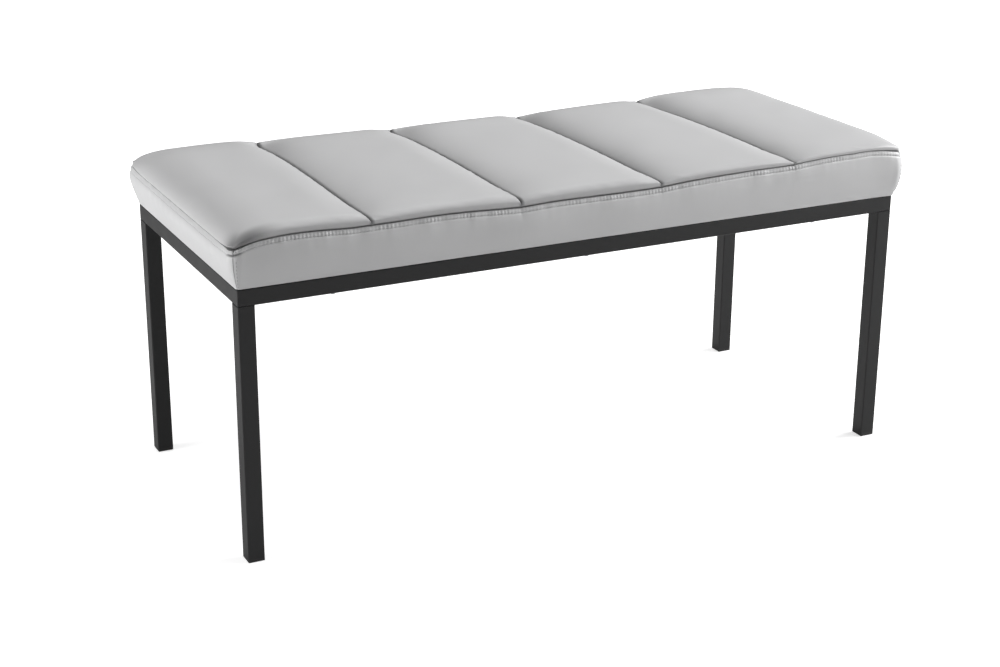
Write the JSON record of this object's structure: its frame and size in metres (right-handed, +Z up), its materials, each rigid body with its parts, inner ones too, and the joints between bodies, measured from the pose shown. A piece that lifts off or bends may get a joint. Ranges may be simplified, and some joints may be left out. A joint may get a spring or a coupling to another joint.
{
  "type": "upholstered bench",
  "caption": "Backless bench with a channelled leatherette seat on a square steel tube frame with straight legs.",
  "frame": {"origin": "on the floor, under the middle of the bench", "axes": "+X along the bench to the right as seen from the front, -Y to the front, +Z up"},
  "size_m": [1.1114, 0.4864, 0.4995],
  "materials": {
    "black_steel": "satin black powder coat",
    "zinc_steel": "zinc plated",
    "black_plastic": "moulded, lightly grained",
    "plywood": "unfinished plywood",
    "foam": "open-cell seat foam",
    "grey_leatherette": "light grey, fine grain, satin",
    "black_felt": "non-woven dust cloth"
  },
  "bodies": {
    "root": {"front_rail": "black_steel", "back_rail": "black_steel", "left_rail": "black_steel", "right_rail": "black_steel", "centre_brace": "black_steel", "leg_front_left": "black_steel", "leg_front_right": "black_steel", "leg_back_left": "black_steel", "leg_back_right": "black_steel", "leg_nut_front_left": "zinc_steel", "leg_nut_front_right": "zinc_steel", "leg_nut_back_left": "zinc_steel", "leg_nut_back_right": "zinc_steel", "leg_bolts": "zinc_steel", "leg_washers": "zinc_steel", "foot_cap_front_left": "black_plastic", "foot_cap_front_right": "black_plastic", "foot_cap_back_left": "black_plastic", "foot_cap_back_right": "black_plastic", "seat_board": "plywood", "tee_nuts": "zinc_steel", "seat_bolts": "zinc_steel", "seat_washers": "zinc_steel", "foam_block": "foam", "foam_topper": "foam", "top_panel_1": "grey_leatherette", "top_panel_2": "grey_leatherette", "top_panel_3": "grey_leatherette", "top_panel_4": "grey_leatherette", "top_panel_5": "grey_leatherette", "front_band": "grey_leatherette", "back_band": "grey_leatherette", "left_band": "grey_leatherette", "right_band": "grey_leatherette", "dust_cover": "black_felt"}
  },
  "joints": []
}
